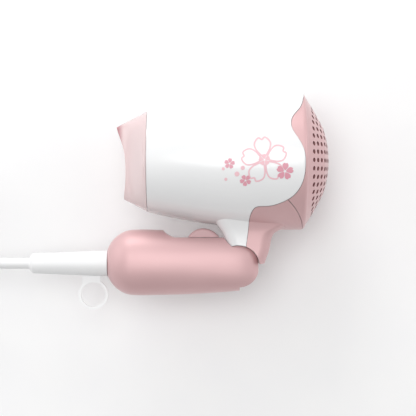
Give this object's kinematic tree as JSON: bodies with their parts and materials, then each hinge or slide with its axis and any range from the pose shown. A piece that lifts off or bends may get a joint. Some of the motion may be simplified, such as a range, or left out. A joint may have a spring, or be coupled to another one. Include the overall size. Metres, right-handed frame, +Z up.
{
  "type": "folding hair dryer",
  "caption": "Compact travel hair dryer with a folding handle, slide switch, slip-on concentrator nozzle, perforated rear dome and a coiled mains lead.",
  "frame": {"origin": "middle of the bottom of the box round the dryer without its lead, as it lies on its right-hand side", "axes": "+X from the air outlet to the perforated rear dome, +Y from the folded handle to the barrel, +Z up, across the casings' parting plane"},
  "size_m": [0.32, 0.1705, 0.0819],
  "materials": {
    "white_gloss": "gloss",
    "pink_satin": "pearl satin",
    "pink_clear": "clear gloss",
    "pink_knob": "satin",
    "white_soft": "soft satin",
    "grille_plastic": "matte",
    "inner_plastic": "matte",
    "black_plastic": "matte",
    "mica": "flaky satin",
    "heating_wire": "oxidised",
    "steel": "brushed",
    "bronze": "plain",
    "ferrite": "matte",
    "circuit_board": "satin",
    "filter_mesh": "fine mesh",
    "wire_sleeve": "satin",
    "tie_plastic": "satin",
    "pin_nickel": "nickel plated"
  },
  "bodies": {
    "housing": {"barrel_shell_right": "white_gloss", "barrel_shell_left": "white_gloss", "rear_cover": "pink_satin", "neck_cover": "pink_satin", "outlet_grille": "grille_plastic", "heat_shield_tube": "mica", "heater_board_a": "mica", "heater_board_b": "mica", "heater_coils": "heating_wire", "thermostat": "steel", "thermal_fuse": "steel", "fan_duct": "inner_plastic", "motor_can": "steel", "motor_end_cap": "inner_plastic", "motor_bushes": "bronze", "motor_magnets": "ferrite", "motor_brushes": "bronze", "rectifier_board": "circuit_board", "rectifier_diodes": "black_plastic", "inlet_filter": "filter_mesh", "hinge_bracket": "inner_plastic", "neck_screws": "steel", "neck_wires": "wire_sleeve"},
    "rotor": {"fan_impeller": "inner_plastic", "motor_shaft": "steel", "motor_armature": "steel", "commutator": "bronze"},
    "handle": {"handle_shell_right": "pink_satin", "handle_shell_left": "pink_satin", "hinge_pin": "steel", "detent_plunger": "steel", "detent_spring": "steel", "handle_screws": "steel", "switch_body": "black_plastic", "switch_terminals": "bronze", "suppression_capacitor": "black_plastic", "cord_clamp": "inner_plastic", "clamp_screws": "steel", "lead_inner_end": "white_soft", "handle_wires": "wire_sleeve", "strain_relief": "white_soft", "hanging_loop": "white_soft", "cord_tube": "white_soft", "cord_coil": "white_soft", "cord_tail": "white_soft", "cord_tie": "tie_plastic", "plug_body": "white_soft", "plug_pins": "pin_nickel"},
    "switch_slider": {"switch_button": "pink_knob", "switch_carrier": "inner_plastic"},
    "nozzle": {"concentrator_nozzle": "pink_clear"}
  },
  "joints": [
    {"name": "fan_spin", "type": "hinge", "parent": "housing", "child": "rotor", "pos_m": [0.062, 0.0242, 0.0409], "axis": [1, 0, 0], "continuous": true},
    {"name": "handle_fold", "type": "hinge", "parent": "housing", "child": "handle", "pos_m": [0.0352, -0.0385, 0.0409], "axis": [0, 0, 1], "range_deg": [0, 90]},
    {"name": "switch_slide", "type": "slide", "parent": "handle", "child": "switch_slider", "axis": [-1, 0, 0], "range_m": [0, 0.007]},
    {"name": "nozzle_turn", "type": "hinge", "parent": "housing", "child": "nozzle", "pos_m": [-0.019, 0.0242, 0.0409], "axis": [1, 0, 0], "continuous": true}
  ]
}
